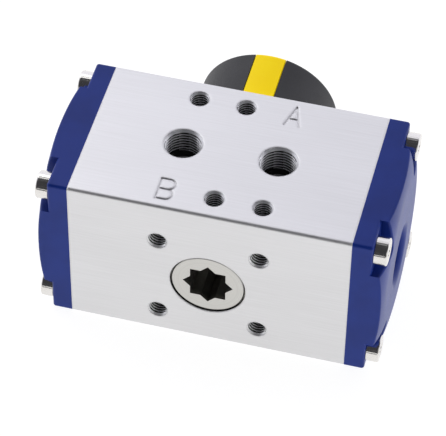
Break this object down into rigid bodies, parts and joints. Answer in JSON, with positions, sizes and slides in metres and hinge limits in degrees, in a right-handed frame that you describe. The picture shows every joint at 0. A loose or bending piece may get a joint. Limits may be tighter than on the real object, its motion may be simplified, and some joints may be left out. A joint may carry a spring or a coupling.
{
  "type": "rotary pneumatic actuator",
  "caption": "Compact rack and pinion rotary actuator: light metal block body, blue end caps, star drive socket and a round turning position indicator.",
  "frame": {"origin": "on the drive axis, in the mounting face", "axes": "+X along the body, +Y from the mounting face into the body along the drive axis, towards the indicator, +Z towards the face with the two air ports. The actuator lies on its back face, with that face level"},
  "size_m": [0.0874, 0.0652, 0.045],
  "materials": {
    "body_aluminium": "fine satin, brushed along the body and clear anodised",
    "cap_blue": "smooth satin moulded surface",
    "seal_rubber": "matt black",
    "screw_steel": "bright rolled steel",
    "piston_aluminium": "machined",
    "bearing_plastic": "plain off-white bearing plastic",
    "pinion_steel": "nickel plated, turned end face",
    "clip_steel": "dark spring steel",
    "indicator_black": "fine textured moulded surface",
    "indicator_yellow": "satin moulded surface"
  },
  "bodies": {
    "housing": {"body": "body_aluminium", "end_cap_left": "cap_blue", "end_cap_right": "cap_blue", "end_cap_seal_left": "seal_rubber", "end_cap_seal_right": "seal_rubber", "cap_screws_left": "screw_steel", "cap_screws_right": "screw_steel"},
    "turning_parts": {"pinion": "pinion_steel", "pinion_bearing_lower": "bearing_plastic", "pinion_bearing_upper": "bearing_plastic", "pinion_seal_lower": "seal_rubber", "pinion_seal_upper": "seal_rubber", "inner_thrust_washer": "bearing_plastic", "outer_thrust_washer": "bearing_plastic", "retaining_ring": "clip_steel", "indicator_cap": "indicator_black", "indicator_bar": "indicator_yellow", "indicator_screw": "screw_steel"},
    "left_piston_parts": {"piston_left": "piston_aluminium", "piston_seal_left": "seal_rubber", "piston_guide_ring_left": "bearing_plastic", "rack_guide_left": "bearing_plastic"},
    "right_piston_parts": {"piston_right": "piston_aluminium", "piston_seal_right": "seal_rubber", "piston_guide_ring_right": "bearing_plastic", "rack_guide_right": "bearing_plastic"}
  },
  "joints": [
    {"name": "pinion_turn", "type": "hinge", "parent": "housing", "child": "turning_parts", "pos_m": [0, 0, 0], "axis": [0, 1, 0], "range_deg": [0, 90]},
    {"name": "right_piston_slide", "type": "slide", "parent": "housing", "child": "right_piston_parts", "axis": [1, 0, 0], "range_m": [0, 0.01257]},
    {"name": "left_piston_slide", "type": "slide", "parent": "housing", "child": "left_piston_parts", "axis": [-1, 0, 0], "range_m": [0, 0.01257]}
  ],
  "couplings": [
    {"joint": "pinion_turn", "follows": "right_piston_slide", "rad_per_m": 125},
    {"joint": "left_piston_slide", "follows": "right_piston_slide", "ratio": 1}
  ]
}
